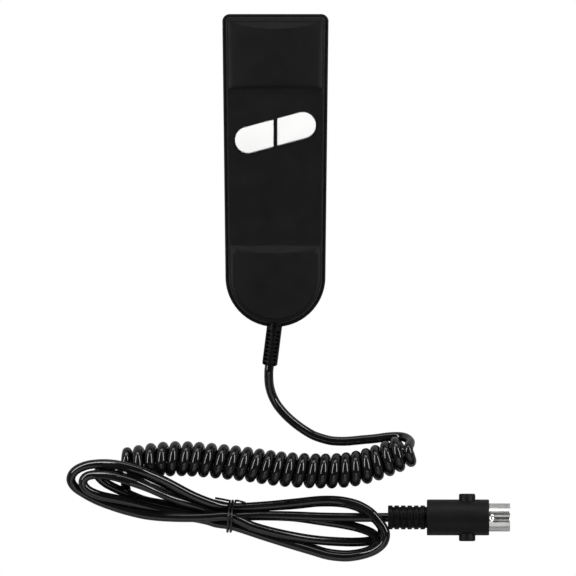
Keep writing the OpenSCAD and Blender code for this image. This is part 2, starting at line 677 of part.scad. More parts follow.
module plug_ferrule() color([0.75, 0.75, 0.73]) plug_frame()
    translate([0, 0, jacket_end - ferrule_l - 1]) difference() {
        cylinder(h = ferrule_l, r = cord_r + 0.02 + ferrule_t, $fn = 48);
        translate([0, 0, -1]) cylinder(h = ferrule_l + 2, r = cord_r + 0.02, $fn = 48);
    }

module plug_insert() color([0.2, 0.2, 0.2]) plug_frame() difference() {
    translate([0, 0, insert_at]) cylinder(h = insert_l, r = shield_d / 2 - shield_t - 0.02, $fn = 96);
    at_pins() translate([0, 0, insert_at - 1])
        cylinder(h = insert_l + 2, r = shank_r + 0.02, $fn = 32);
    translate([-shield_d, -key_w / 2 - key_t - gap, insert_at - 1])
        cube([shield_d - key_x + key_w / 2 + key_t + gap, key_w + 2 * (key_t + gap), insert_l + 2]);
}

module at_pins() {
    for (i = [0 : 4]) let (a = pin_angle(i))
        translate([-pin_circle_d / 2 * sin(a), pin_circle_d / 2 * cos(a), 0]) children();
}

module shield_tube() difference() {
    union() {
        translate([0, 0, plug_l - shield_l]) cylinder(h = shield_l, r = shield_d / 2, $fn = 96);
        translate([0, 0, plug_l - shield_l - shield_seat + gap])
            cylinder(h = shield_seat, r = shield_d / 2 - seat_step, $fn = 96);
    }
    translate([0, 0, plug_l - shield_l - shield_seat - 1])
        cylinder(h = shield_l + shield_seat + 2, r = shield_d / 2 - shield_t, $fn = 96);
}

// The form of the key channel along the plug's axis: round in section and at its inner end
module key_form(r, l) translate([key_x, 0, plug_l - shield_l + key_at]) {
    cylinder(h = l, r = r, $fn = 48);
    sphere(r = r, $fn = 48);
}

// A tube with its key pressed inwards as a channel that is open at the mouth
module plug_shield() color([0.78, 0.78, 0.76]) plug_frame() rotate(180) difference() {
    union() {
        shield_tube();
        intersection() {
            key_form(key_w / 2 + key_t, shield_l - key_at);
            cylinder(h = plug_l, r = shield_d / 2 - shield_t / 2, $fn = 96);
        }
    }
    key_form(key_w / 2, shield_l);
}

module plug_contacts() color([0.82, 0.8, 0.72]) plug_frame() at_pins() {
    tip_z = plug_l - pin_inset - pin_d / 2;
    translate([0, 0, cup_at]) cylinder(h = insert_at + insert_l - cup_at, r = shank_r, $fn = 32);
    translate([0, 0, cup_at]) cylinder(h = tip_z - cup_at, r = pin_d / 2, $fn = 32);
    translate([0, 0, tip_z]) sphere(r = pin_d / 2, $fn = 32);
}

front_shell();
rear_shell();
shell_screws();
button_left();
button_right();
circuit_board();
board_screws();
switch_case_left();
switch_case_right();
switch_plunger_left();
switch_plunger_right();
switch_blade_left();
switch_blade_right();
switch_terminals();
cord_boot();
cord_jacket();
conductor_red();
conductor_black();
conductor_white();
conductor_green();
conductor_yellow();
twist_tie();
plug_boot();
plug_housing();
plug_ferrule();
plug_insert();
plug_shield();
plug_contacts();
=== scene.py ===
"""The looks of a corded hand control: smooth moulded shells, buttons, cord, boots and plug."""

import json
import math

import bmesh
import bpy
import numpy as np
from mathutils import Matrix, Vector


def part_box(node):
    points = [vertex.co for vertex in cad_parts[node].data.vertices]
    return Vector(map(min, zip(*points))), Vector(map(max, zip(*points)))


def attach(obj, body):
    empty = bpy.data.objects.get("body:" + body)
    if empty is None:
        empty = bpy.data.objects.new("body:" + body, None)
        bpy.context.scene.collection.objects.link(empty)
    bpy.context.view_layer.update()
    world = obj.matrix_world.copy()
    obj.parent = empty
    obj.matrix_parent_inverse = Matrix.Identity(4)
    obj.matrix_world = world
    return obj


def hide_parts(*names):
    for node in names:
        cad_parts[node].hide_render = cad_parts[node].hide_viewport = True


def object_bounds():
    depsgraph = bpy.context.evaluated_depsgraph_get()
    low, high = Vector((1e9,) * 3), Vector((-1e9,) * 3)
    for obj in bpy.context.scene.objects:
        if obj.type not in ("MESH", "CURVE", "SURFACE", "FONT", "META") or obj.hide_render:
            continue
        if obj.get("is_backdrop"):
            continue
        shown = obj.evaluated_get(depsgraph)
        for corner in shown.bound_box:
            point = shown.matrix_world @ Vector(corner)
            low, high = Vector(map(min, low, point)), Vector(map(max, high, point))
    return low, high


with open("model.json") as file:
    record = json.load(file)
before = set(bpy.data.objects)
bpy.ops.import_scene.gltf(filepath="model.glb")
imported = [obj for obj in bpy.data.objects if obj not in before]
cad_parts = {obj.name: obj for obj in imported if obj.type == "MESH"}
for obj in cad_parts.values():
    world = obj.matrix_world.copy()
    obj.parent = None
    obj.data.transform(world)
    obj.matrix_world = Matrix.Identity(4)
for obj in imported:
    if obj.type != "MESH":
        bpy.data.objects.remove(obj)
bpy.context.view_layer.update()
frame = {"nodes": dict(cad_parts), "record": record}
MM = 0.001  # one millimetre in the scene's metres
ROOT = "handset"  # the body that all fixed pieces belong to


def box_mm(node):
    """The lowest and highest corners of a CAD node, in millimetres."""
    low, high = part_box(node)
    return np.array(low) / MM, np.array(high) / MM


# ---------------------------------------------------------------- materials

COLOUR_A, COLOUR_B, MIXED_COLOUR = 6, 7, 2  # sockets of a colour mix


class Nodes:
    """A material's node tree, with a short way to add nodes and to join them."""

    def __init__(self, name):
        self.material = bpy.data.materials.new(name)
        self.material.use_nodes = True
        self.tree = self.material.node_tree
        self.tree.nodes.clear()
        self.output = self.add("ShaderNodeOutputMaterial")

    def add(self, kind, **values):
        """A node, with values for its inputs or its own settings."""
        node = self.tree.nodes.new(kind)
        for key, value in values.items():
            if key in node.inputs:
                node.inputs[key].default_value = value
            else:
                setattr(node, key, value)
        return node

    def link(self, source, output, target, socket):
        """Joins one node's output to another's input."""
        self.tree.links.new(source.outputs[output], target.inputs[socket])

    def surface(self, **values):
        """Gives the material its main shader."""
        shader = self.add("ShaderNodeBsdfPrincipled", **values)
        self.link(shader, "BSDF", self.output, "Surface")
        return shader

    def noise(self, scale, detail, stretch=(1, 1, 1)):
        """Noise that is fixed to the piece."""
        mapping = self.add("ShaderNodeMapping", Scale=stretch)
        self.link(self.add("ShaderNodeTexCoord"), "Object", mapping, "Vector")
        noise = self.add("ShaderNodeTexNoise", Scale=scale, Detail=detail)
        self.link(mapping, "Vector", noise, "Vector")
        return noise

    def ramp(self, source, output, low, high, dark, light):
        """A value's range from low to high, spread from dark to light."""
        ramp = self.add("ShaderNodeMapRange")
        limits = {"From Min": low, "From Max": high, "To Min": dark, "To Max": light}
        for key, value in limits.items():
            ramp.inputs[key].default_value = value
        self.link(source, output, ramp, "Value")
        return ramp

    def mix(self, factor, first, second):
        """A colour between two by a node's value. The first may be another mix."""
        mix = self.add("ShaderNodeMix", data_type="RGBA")
        if isinstance(first, tuple):
            mix.inputs[COLOUR_A].default_value = (*first, 1)
        else:
            self.link(first, MIXED_COLOUR, mix, COLOUR_A)
        mix.inputs[COLOUR_B].default_value = (*second, 1)
        self.link(factor, "Result", mix, 0)
        return mix

    def bump(self, source, output, depth, below=None):
        """A relief of some depth in metres, on top of the one below."""
        bump = self.add("ShaderNodeBump", Strength=1.0, Distance=depth)
        self.link(source, output, bump, "Height")
        if below is not None:
            self.link(below, "Normal", bump, "Normal")
        return bump


def moulded(name, colour, roughness, grain=0.35, depth=0.012, wear_and_sheen=0.5, specular=0.5, spread=0.25):
    """Moulded plastic: spark-eroded grain, uneven gloss, faint wear and a painted sheen on raised
    edges. Sizes in mm.
    """
    n = Nodes(name)
    shader = n.surface(**{"Specular IOR Level": specular})
    light = tuple(min(1, c * (1 + spread)) for c in colour)
    dark = tuple(c * (1 - spread) for c in colour)
    edge_wear_and_sheen_colour = tuple(min(1, c * 1.3 + 0.004) for c in colour)
    cloudy = n.mix(n.ramp(n.noise(55, 3), "Fac", 0.3, 0.7, 0, 1), dark, light)
    # raised edges are painted lighter by their pointiness: partly real wear, partly a painted
    # highlight along the edges
    edges = n.ramp(n.add("ShaderNodeNewGeometry"), "Pointiness", 0.52, 0.62, 0, wear_and_sheen)
    n.link(n.mix(edges, cloudy, edge_wear_and_sheen_colour), MIXED_COLOUR, shader, "Base Color")
    gloss = n.ramp(n.noise(140, 5), "Fac", 0.25, 0.75, roughness - 0.06, roughness + 0.06)
    n.link(gloss, "Result", shader, "Roughness")
    coarse = n.bump(n.noise(0.22 / (grain * MM), 2), "Fac", depth * MM * 0.8)
    fine = n.bump(n.noise(1 / (grain * MM), 3), "Fac", depth * MM, below=coarse)
    n.link(fine, "Normal", shader, "Normal")
    return n.material


def vinyl(name, colour, roughness):
    """Glossy flexible PVC, with slow waves from the extruder and light scuffs."""
    n = Nodes(name)
    shader = n.surface()
    light = tuple(c * 1.5 + 0.002 for c in colour)
    cloudy = n.mix(n.ramp(n.noise(90, 3), "Fac", 0.35, 0.7, 0, 1), colour, light)
    n.link(cloudy, MIXED_COLOUR, shader, "Base Color")
    scuffs = n.ramp(n.noise(420, 6), "Fac", 0.35, 0.75, roughness, roughness + 0.07)
    n.link(scuffs, "Result", shader, "Roughness")
    waves = n.bump(n.noise(230, 2), "Fac", 0.014 * MM)
    fine = n.bump(n.noise(2600, 2), "Fac", 0.0008 * MM, below=waves)
    n.link(fine, "Normal", shader, "Normal")
    return n.material


def metal(name, colour, roughness, stretch=(1, 1, 1), scratch=0.004):
    """Plated metal with fine drawing lines and a little tarnish."""
    n = Nodes(name)
    shader = n.surface(Metallic=1)
    dull = tuple(c * 0.82 for c in colour)
    tarnished = n.mix(n.ramp(n.noise(260, 4), "Fac", 0.35, 0.7, 0, 1), colour, dull)
    n.link(tarnished, MIXED_COLOUR, shader, "Base Color")
    lines = n.noise(1500, 4, stretch)
    gloss = n.ramp(lines, "Fac", 0.3, 0.7, roughness * 0.8, roughness * 1.25)
    n.link(gloss, "Result", shader, "Roughness")
    n.link(n.bump(lines, "Fac", scratch * MM), "Normal", shader, "Normal")
    return n.material


BLACK = (0.0030, 0.0030, 0.0032)
SHELL = moulded("shell_plastic", BLACK, 0.52, grain=0.42, depth=0.016, wear_and_sheen=0.15, specular=0.155)
REAR = moulded("rear_plastic", BLACK, 0.52, grain=0.42, depth=0.016, wear_and_sheen=0.15, specular=0.155)
CAP = moulded("cap_plastic", (0.765, 0.765, 0.76), 0.42, grain=0.5, depth=0.003, wear_and_sheen=0.1,
              spread=0.015)
BOOT = moulded("boot_vinyl", (0.0022, 0.0022, 0.0024), 0.42, grain=0.6, depth=0.006, wear_and_sheen=0.3,
               specular=0.12)
PLUG = moulded("plug_plastic", (0.0036, 0.0036, 0.0037), 0.48, grain=0.25, depth=0.014, wear_and_sheen=0.2,
               specular=0.16)
CORD = vinyl("cord_vinyl", BLACK, 0.07)
TIE = vinyl("tie_coat", (0.0045, 0.0045, 0.0045), 0.18)
NICKEL = metal("bright_nickel", (0.79, 0.79, 0.78), 0.26, (0.05, 1, 1), 0.0006)
SLOTS = {
    "steel": metal("zinc_steel", (0.55, 0.56, 0.58), 0.34),
    "tinned": metal("tinned_brass", (0.7, 0.69, 0.66), 0.36),
    "spring_brass": metal("spring_brass", (0.78, 0.57, 0.25), 0.28, (0.1, 1, 1)),
    "contact": metal("plated_contact", (0.86, 0.83, 0.76), 0.2, (0.1, 1, 1)),
    "board": moulded("solder_resist", (0.02, 0.14, 0.05), 0.32, grain=0.8, depth=0.01),
    "switch": moulded("switch_case", (0.02, 0.02, 0.023), 0.4),
    "plunger": moulded("plunger_red", (0.45, 0.04, 0.03), 0.35, depth=0.004),
    "insert": moulded("insulator", (0.022, 0.022, 0.023), 0.42, depth=0.006),
    "wire_red": vinyl("wire_red", (0.5, 0.02, 0.015), 0.3),
    "wire_black": vinyl("wire_black", (0.01, 0.01, 0.01), 0.3),
    "wire_white": vinyl("wire_white", (0.55, 0.55, 0.53), 0.3),
    "wire_green": vinyl("wire_green", (0.02, 0.2, 0.05), 0.3),
    "wire_yellow": vinyl("wire_yellow", (0.5, 0.34, 0.02), 0.3),
    "shell": SHELL, "shell_rear": REAR, "button": CAP, "boot": BOOT,
    "cord": CORD, "tie": TIE, "plug": PLUG, "nickel": NICKEL,
}

slot_of = {part["node"]: part["material_slot"] for part in frame["record"]["subparts"]}
for node_name, thing in frame["nodes"].items():
    thing.data.materials.clear()
    thing.data.materials.append(SLOTS[slot_of[node_name]])


# ---------------------------------------------------------------- mesh tools


def in_scene(name, data):
    """A new object in the scene, with a mesh, a light or a camera."""
    thing = bpy.data.objects.new(name, data)
    bpy.context.scene.collection.objects.link(thing)
    return thing


def ring_faces(order, n):
    """Faces between each ring of n points and the next one in an order of rings."""
    faces = []
    for here, after in zip(order, order[1:]):
        for k in range(n):
            j = (k + 1) % n
            faces.append([here * n + k, here * n + j, after * n + j, after * n + k])
    return faces


def new_object(name, points_mm, faces, material, sharp=35):
    """A mesh object from points in millimetres, with smooth shading up to an angle."""
    mesh = bpy.data.meshes.new(name)
    mesh.from_pydata([tuple(p * MM for p in q) for q in np.asarray(points_mm, float)], [], faces)
    mesh.validate()
    work = bmesh.new()
    work.from_mesh(mesh)
    bmesh.ops.remove_doubles(work, verts=work.verts, dist=1e-7)
    bmesh.ops.dissolve_degenerate(work, dist=1e-7, edges=work.edges)
    bmesh.ops.recalc_face_normals(work, faces=work.faces)
    work.to_mesh(mesh)
    work.free()
    thing = in_scene(name, mesh)
    mesh.materials.append(material)
    shade(thing, sharp)
    return thing


def shade(thing, sharp):
    """Smooth shading, except across edges that are sharper than an angle."""
    for face in thing.data.polygons:
        face.use_smooth = True
    thing.data.set_sharp_from_angle(angle=math.radians(sharp))


def apply_modifiers(thing):
    """Replaces an object's mesh by what its modifiers make of it."""
    graph = bpy.context.evaluated_depsgraph_get()
    made = bpy.data.meshes.new_from_object(thing.evaluated_get(graph))
    thing.modifiers.clear()
    thing.data = made


def cut(thing, cutter, operation="DIFFERENCE"):
    """Takes the cutter out of an object, or adds it to the object, and removes the cutter."""
    step = thing.modifiers.new("cut", "BOOLEAN")
    step.operation = operation
    step.solver = "EXACT"
    step.object = cutter
    apply_modifiers(thing)
    bpy.data.objects.remove(cutter)


def finish_piece(thing, node, body=ROOT):
    """Puts a piece on its body, in the place of a CAD node."""
    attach(thing, body)
    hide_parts(node)


def prism(outline, low, high, name="cutter"):
    """A closed upright solid on a plane outline."""
    n = len(outline)
    points = [(x, y, low) for x, y in outline] + [(x, y, high) for x, y in outline]
    ends = [list(range(n - 1, -1, -1)), list(range(n, 2 * n))]
    return new_object(name, points, ends + ring_faces([0, 1], n), REAR)


def disc(x, y, radius):
    """A round outline."""
    return [(x + radius * math.cos(a), y + radius * math.sin(a))
            for a in np.linspace(0, 2 * math.pi, 64, endpoint=False)]


def merge(things, name):
    """One object out of several closed ones that don't touch."""
    work = bmesh.new()
    for thing in things:
        work.from_mesh(thing.data)
        bpy.data.objects.remove(thing)
    mesh = bpy.data.meshes.new(name)
    work.to_mesh(mesh)
    work.free()
    return in_scene(name, mesh)


def turned(name, profile, material, count, sharp=30):
    """A solid turned about the Z axis from a closed profile of (radius, z)."""
    angles = np.linspace(0, 2 * math.pi, count, endpoint=False)
    points = [(r * math.cos(a), r * math.sin(a), z) for a in angles for r, z in profile]
    faces = ring_faces([*range(count), 0], len(profile))
    return new_object(name, points, faces, material, sharp)


def place(thing, origin, along):
    """Turns an object built along Z so that it runs along a direction, with its X side up."""
    along = np.array(along, float) / np.linalg.norm(along)
    up = np.array([0, 0, 1.0]) - along[2] * along
    up /= np.linalg.norm(up)
    side = np.cross(along, up)
    spin = np.stack([up, side, along], axis=1)
    n = len(thing.data.vertices)
    flat = np.empty(n * 3)
    thing.data.vertices.foreach_get("co", flat)
    moved = flat.reshape(n, 3) @ spin.T + np.array(origin) * MM
    thing.data.vertices.foreach_set("co", moved.ravel())
    thing.data.update()
    return thing


# ---------------------------------------------------------------- handset shells

FRONT_LOW, FRONT_HIGH = box_mm("front_shell")
REAR_LOW, REAR_HIGH = box_mm("rear_shell")
HEAD_W = FRONT_HIGH[0] - FRONT_LOW[0]
TAIL_W = HEAD_W - 3
HEAD_Y = REAR_HIGH[1]
TAIL_R = TAIL_W / 2
TAIL_Y = REAR_LOW[1] + TAIL_R
TOP_Z = FRONT_HIGH[2]
SPLIT_Z = FRONT_LOW[2]  # the parting line
CORNER_R = 3.5
WALL = 2.2
EDGE_IN = 4.1  # the face's edge stands in from the silhouette
SIDE_IN = 1.75  # and so does the top of the front shell's side wall
FOOT_IN = 1.62  # and its foot
EDGE_DROP = 1.6
EDGE_Z = TOP_Z - EDGE_DROP
FILLET = EDGE_IN - SIDE_IN
CROWN_R = 140
PANEL_Z = TOP_Z - 2.4  # the flat panel that the buttons stand in
PANEL_Y0, PANEL_Y1 = -35.3, 38.0
LOW_RAMP, HIGH_RAMP, HEAD_RAMP = 0.7, 1.04, 0.55  # slopes of the face's three ramps
HEAD_CREASE_Y = 69.2
HEAD_BLEND_Y = 58  # from here on the rows move with the corner's inset
TAPER = math.asin((HEAD_W - TAIL_W) / 2 / (HEAD_Y - TAIL_Y))
COLUMNS = 44  # of the grid across the face
SOFT = 0.13  # half width of the rounding along a crease


def crown_drop(x):
    """How far the crowned face has fallen at x from the middle."""
    return CROWN_R - math.sqrt(CROWN_R**2 - x * x)


X_EDGE = HEAD_W / 2 - EDGE_IN
FULL_DROP = crown_drop(X_EDGE)
FULL_DROP_Z = TOP_Z - FULL_DROP


def side_x(y, inset):
    """Half width of the handset at a place along it."""
    tail = TAIL_R * math.cos(TAPER)
    start = TAIL_Y - TAIL_R * math.sin(TAPER)
    return tail + (y - start) * math.tan(TAPER) - inset / math.cos(TAPER)


def corner_place(inset):
    """Radius and centre of the head's corner, inset by a distance."""
    r = max(CORNER_R - inset, 0.4)
    return r, HEAD_W / 2 - inset - r, HEAD_Y - inset - r


def stations():
    """Places round the right half of the outline, from the tail's tip to the middle of the head.

    Each is (kind, value, curve, share). The value is an angle at the tail and the corner, a
    place along Y at the side, and a part of the way along the head. The curve names the
    crease that the row across the face bends along, and the share says how much."""
    made = [("tail", a, None, 0.0) for a in np.linspace(-90, -math.degrees(TAPER), 34)]
    low_edge = PANEL_Y0 - (FULL_DROP_Z - PANEL_Z) / LOW_RAMP
    high_edge = PANEL_Y1 + (FULL_DROP_Z - PANEL_Z) / HIGH_RAMP
    # along the side: place, share, rows up to the next place, and crease
    anchors = [
        (TAIL_Y + 1.5, 0, 3, None), (-43, 0, 4, None), (low_edge - SOFT, 1, 1, "low"),
        (low_edge, 1, 1, "low"), (low_edge + SOFT, 0.95, 2, "low"), (PANEL_Y0 - SOFT, 0.05, 1, "low"),
        (PANEL_Y0, 0, 1, None), (PANEL_Y0 + SOFT, 0, 24, None), (PANEL_Y1 - SOFT, 0, 1, None),
        (PANEL_Y1, 0, 1, None), (PANEL_Y1 + SOFT, 0.08, 2, "high"), (high_edge - SOFT, 0.9, 1, "high"),
        (high_edge, 1, 1, "high"), (high_edge + SOFT, 1, 4, "high"), (46, 0, 6, None),
        (60, 0, 5, None), (HEAD_CREASE_Y - SOFT, 1, 1, "head"), (HEAD_CREASE_Y, 1, 1, "head"),
        (HEAD_CREASE_Y + SOFT, 0.97, 0, "head")]
    for (y0, share0, count, curve0), (y1, share1, _, curve1) in zip(anchors, anchors[1:]):
        for i in range(count):
            t = i / count
            share = share0 + (share1 - share0) * t
            made.append(("side", y0 + (y1 - y0) * t, curve0 or curve1, share))
    made.append(("side", anchors[-1][0], "head", anchors[-1][1]))
    corner = np.linspace(-math.degrees(TAPER), 90, 12)
    made += [("corner", a, "head", 0.9 * (1 - (i + 1) / len(corner))) for i, a in enumerate(corner)]
    made += [("head", j / (COLUMNS // 2), None, 0.0) for j in range(1, COLUMNS // 2 + 1)]
    return made


STATIONS = stations()
LAST_ROW = max(i for i, s in enumerate(STATIONS) if s[0] == "corner")


def outline_point(station, inset):
    """A point of the right half's outline, inset by a distance."""
    kind, value = station[0], station[1]
    r, cx, cy = corner_place(inset)
    if kind == "tail":
        a = math.radians(value)
        return (TAIL_R - inset) * math.cos(a), TAIL_Y + (TAIL_R - inset) * math.sin(a)
    if kind == "side":
        weight = min(1, max(0, (value - HEAD_BLEND_Y) / (HEAD_CREASE_Y - HEAD_BLEND_Y)))
        y = value + weight * (corner_place(inset)[2] - corner_place(EDGE_IN)[2])
        return side_x(y, inset), y
    if kind == "corner":
        a = math.radians(value)
        return cx + r * math.cos(a), cy + r * math.sin(a)
    return cx * (1 - value), HEAD_Y - inset


def crease_bend(curve, x):
    """How far a crease at x stands from its end at the side of the face."""
    rise = FULL_DROP - crown_drop(min(abs(x), X_EDGE))
    if curve == "low":
        return -rise / LOW_RAMP
    if curve == "high":
        return rise / HIGH_RAMP
    if curve == "head":
        return -rise / HEAD_RAMP
    return 0.0


def face_height(x, y):
    """Height of the front face: a crown, a flat panel between two ramps, and a slope at the head."""
    crown = TOP_Z - crown_drop(min(abs(x), X_EDGE))
    crease = HEAD_CREASE_Y + crease_bend("head", x)
    end = HEAD_Y - EDGE_IN
    if y > crease:
        crown += (EDGE_Z - crown) * min(1, (y - crease) / max(end - crease, 1e-6))
    ramp = max(PANEL_Z, PANEL_Z + (PANEL_Y0 - y) * LOW_RAMP, PANEL_Z + (y - PANEL_Y1) * HIGH_RAMP)
    return min(crown, ramp)


def rounded_height(x, y):
    """The face's height, averaged a little along Y so that its creases are softly rounded."""
    return (face_height(x, y - SOFT) + 2 * face_height(x, y) + face_height(x, y + SOFT)) / 4


def cup(name, rings, top, bottom, material):
    """A closed shell: rings of (inset, height) between an outer cap and an inner cap.

    A ring's height, and top and bottom, may be functions of (x, y)."""
    loop = 2 * len(STATIONS) - 2  # points in a ring
    points = []

    def height(rule, x, y):
        """A height that is given as a number or as a function."""
        return rule(x, y) if callable(rule) else rule

    for inset, rule in rings:
        right = [outline_point(s, inset) for s in STATIONS]
        right[0] = (0.0, right[0][1])
        right[-1] = (0.0, right[-1][1])
        ring = right + [(-x, y) for x, y in right[-2:0:-1]]
        points += [(x, y, height(rule, x, y)) for x, y in ring]
    faces = ring_faces(range(len(rings)), loop)

    def cap(ring, rule):
        """Closes a ring with a grid whose rows run across the handset."""
        start = ring * loop
        inset = rings[ring][0]
        rows = [[start]]
        for i in range(1, LAST_ROW + 1):
            x_end, y_end = outline_point(STATIONS[i], inset)
            curve, share = STATIONS[i][2], STATIONS[i][3]
            row = [start + loop - i]
            for j in range(1, COLUMNS):
                c = 2 * j / COLUMNS - 1
                if i == LAST_ROW:
                    step = round((1 - abs(c)) * COLUMNS / 2)
                    row.append(start + i + step if c >= 0 else start + loop - i - step)
                    continue
                x = c * x_end
                y = y_end + share * crease_bend(curve, c * X_EDGE)
                points.append((x, y, height(rule, x, y)))
                row.append(len(points) - 1)
            row.append(start + i)
            rows.append(row)
        first = rows[1]
        for a, b in zip(first, first[1:]):
            faces.append([start, b, a])
        for lower, upper in zip(rows[1:], rows[2:]):
            for j in range(COLUMNS):
                faces.append([lower[j], lower[j + 1], upper[j + 1], upper[j]])

    cap(0, top)
    cap(len(rings) - 1, bottom)
    return new_object(name, points, faces, material, 50)


def front_shell():
    """The front half: crowned face, panel, rounded edge, side wall and hollow inside."""
    panel_a = math.asin(1 - (EDGE_Z - PANEL_Z) / FILLET)
    panel_in = EDGE_IN - FILLET * math.cos(panel_a)  # where the edge's rounding meets the panel
    insets = [EDGE_IN - FILLET * math.cos(math.radians(a)) for a in np.linspace(90, 0, 15)]
    insets = sorted(insets + [panel_in + 0.06, panel_in, panel_in - 0.06], reverse=True)

    def fillet_rule(inset):
        """The height of the edge's rounding at an inset, or the face's where that is lower."""
        drop = FILLET - math.sqrt(max(0, FILLET**2 - (inset - SIDE_IN - FILLET) ** 2))
        return lambda x, y: min(EDGE_Z - drop, rounded_height(min(abs(x), X_EDGE), y))

    rings = [(EDGE_IN, rounded_height)]
    rings += [(d, fillet_rule(d)) for d in insets if d < EDGE_IN - 0.01]
    wall_top, wall_foot = EDGE_Z - FILLET, SPLIT_Z - 0.2
    rings += [(SIDE_IN + (FOOT_IN - SIDE_IN) * t, wall_top + (wall_foot - wall_top) * t)
              for t in (0.25, 0.5, 0.75, 1)]
    rings += [(FOOT_IN + 0.08, wall_foot + 0.02), (FOOT_IN + 0.3, wall_foot), (WALL + 0.3, wall_foot)]
    inner_top = TOP_Z - 2 * WALL
    rings += [(WALL + 0.3, SPLIT_Z + 3), (WALL + 0.6, inner_top - 2), (WALL + 2.5, inner_top)]
    return cup("front_shell_skin", rings, rounded_height, inner_top, SHELL)


def rear_shell():
    """The rear half: flat back with a rounded foot, side wall, and the ledge at the parting line."""
    shoulder = [(0.65 - 0.65 * math.sin(a), SPLIT_Z - 1.0 + 0.9 * math.cos(a))
                for a in np.radians(np.linspace(0, 90, 8))]
    foot = [(3.9, 0.0), (3.2, 0.06), (2.5, 0.3), (1.8, 0.75), (1.25, 1.35), (0.85, 2.1), (0.62, 2.9),
            (0.55, 3.6)]
    ledge = [(0.9, SPLIT_Z - 0.1), (0.98, SPLIT_Z - 0.24), (WALL + 0.3, SPLIT_Z - 0.24)]
    inside = [(WALL + 0.3, 5), (WALL + 3, WALL)]
    rings = foot + [(0.3, 6.5), (0.1, 9)] + shoulder[::-1] + ledge + inside
    return cup("rear_shell_skin", rings, 0.0, WALL, REAR)


# ---------------------------------------------------------------- buttons

RIGHT_HIGH = box_mm("button_right")[1]
LEFT_LOW = box_mm("button_left")[0]
BUTTON_Y = (LEFT_LOW[1] + RIGHT_HIGH[1]) / 2
CAP_SLANT = math.radians(15.1)
CAP_R = 6.14  # of a cap's round outer end
CAP_HALF = 13.3  # from the middle of the pair to the centre of that end
CAP_SIDE = 0.9  # from the middle to a cap's upright inner end
CAP_CORNER = 0.4
CAP_GAP = 0.35


def cap_outline(side, inset):
    """Outline of one button cap: a round outer end and an upright inner end with rounded corners."""
    sin, cos = math.sin(CAP_SLANT), math.cos(CAP_SLANT)
    along, up = np.array([cos, sin]), np.array([-sin, cos])

    def arc(centre, radius, start, turn, count):
        """Points on an arc from an angle, anticlockwise."""
        return [centre + radius * np.array([math.cos(a), math.sin(a)])
                for a in np.linspace(start, start + turn, count)]

    outer = np.array([0, BUTTON_Y]) + side * CAP_HALF * along
    points = arc(outer, CAP_R - inset, CAP_SLANT - side * math.pi / 2, math.pi, 40)
    x = side * (CAP_SIDE + CAP_CORNER)
    inner_way = math.pi if side > 0 else 0.0  # the direction that the inner end faces
    for way in (side, -side):
        corner = np.array([x, BUTTON_Y + (way * (CAP_R - CAP_CORNER) + x * sin) / cos])
        edge_way = math.atan2(*(way * up)[::-1])
        start, end = (edge_way, inner_way) if way == side else (inner_way, edge_way)
        points += arc(corner, max(CAP_CORNER - inset, 0.05), start, (end - start) % (2 * math.pi), 9)
    return points


def opening(side):
    """The cutter for the opening that a cap stands in."""
    return prism(cap_outline(side, -CAP_GAP), PANEL_Z - 4, PANEL_Z + 2, "opening")


def button(side, name):
    """A cap with a softly rounded rim, standing on the flange that holds it under the panel."""
    top, rim = RIGHT_HIGH[2], 0.5
    under = PANEL_Z - WALL - 0.1
    flange_out, flange_h = 0.7, 1.2
    levels = [(rim * (1 - math.sin(a)), top - rim * (1 - math.cos(a)))
              for a in np.radians(np.linspace(0, 90, 7))]
    levels += [(0, under), (-flange_out, under), (-flange_out, under - flange_h)]
    rings = [[(x, y, z) for x, y in cap_outline(side, inset)] for inset, z in levels]
    n = len(rings[0])
    points = [p for ring in rings for p in ring]
    ends = [list(range(n)), list(range(len(points) - n, len(points)))]
    return new_object(name, points, ends + ring_faces(range(len(rings)), n), CAP, 40)


# ---------------------------------------------------------------- wires

CORD_R = 2.15
COIL_EXTRA = 0.17  # the cord's radius is larger by this in the coil
COIL_BEND = 0.11  # radians for each millimetre: the cord bends more than this in the coil only
COIL_WINDOW = 41  # points that the step between both radii is averaged over


def end_rim(work, sides):
    """The rim of a wire's flat end: a loop of sharp edges with a corner for each of its sides."""
    links = {}
    for e in work.edges:
        if len(e.link_faces) == 2 and e.calc_face_angle(0) > math.radians(75):
            a, b = (v.index for v in e.verts)
            links.setdefault(a, set()).add(b)
            links.setdefault(b, set()).add(a)
    for seed in sorted(links, key=lambda i: -work.verts[i].co.x):
        loop, queue = {seed}, [seed]
        while queue:
            for other in links[queue.pop()] - loop:
                loop.add(other)
                queue.append(other)
        if len(loop) == sides:
            return loop
    raise ValueError("no flat end with %d sides" % sides)


def centre_line(node, sides):
    """The middle line of a swept wire, in millimetres, from the rings of its CAD mesh."""
    work = bmesh.new()
    work.from_mesh(frame["nodes"][node].data)
    bmesh.ops.remove_doubles(work, verts=work.verts, dist=1e-6)
    work.verts.ensure_lookup_table()
    layer = end_rim(work, sides)
    seen, middles = set(layer), []
    while layer:
        middles.append(np.mean([np.array(work.verts[i].co) for i in layer], axis=0) / MM)
        after = set()
        for i in layer:
            for e in work.verts[i].link_edges:
                other = e.other_vert(work.verts[i]).index
                if other not in seen:
                    after.add(other)
        seen |= after
        layer = after
    work.free()
    return np.array(middles)


def smooth_line(points, pieces):
    """More points along the smooth curve through the given ones."""
    p = np.vstack([2 * points[0] - points[1], points, 2 * points[-1] - points[-2]])
    made = []
    for i in range(1, len(p) - 2):
        for t in np.arange(pieces) / pieces:
            a, b, c, d = p[i - 1], p[i], p[i + 1], p[i + 2]
            made.append(0.5 * (2 * b + (c - a) * t + (2 * a - 5 * b + 4 * c - d) * t**2
                               + (3 * b - a - 3 * c + d) * t**3))
    made.append(points[-1])
    return np.array(made)


def relaxed(line, passes):
    """The line with its small kinks averaged out, and its ends kept."""
    line = line.copy()
    for _ in range(passes):
        line[1:-1] = (line[:-2] + 2 * line[1:-1] + line[2:]) / 4
    return line


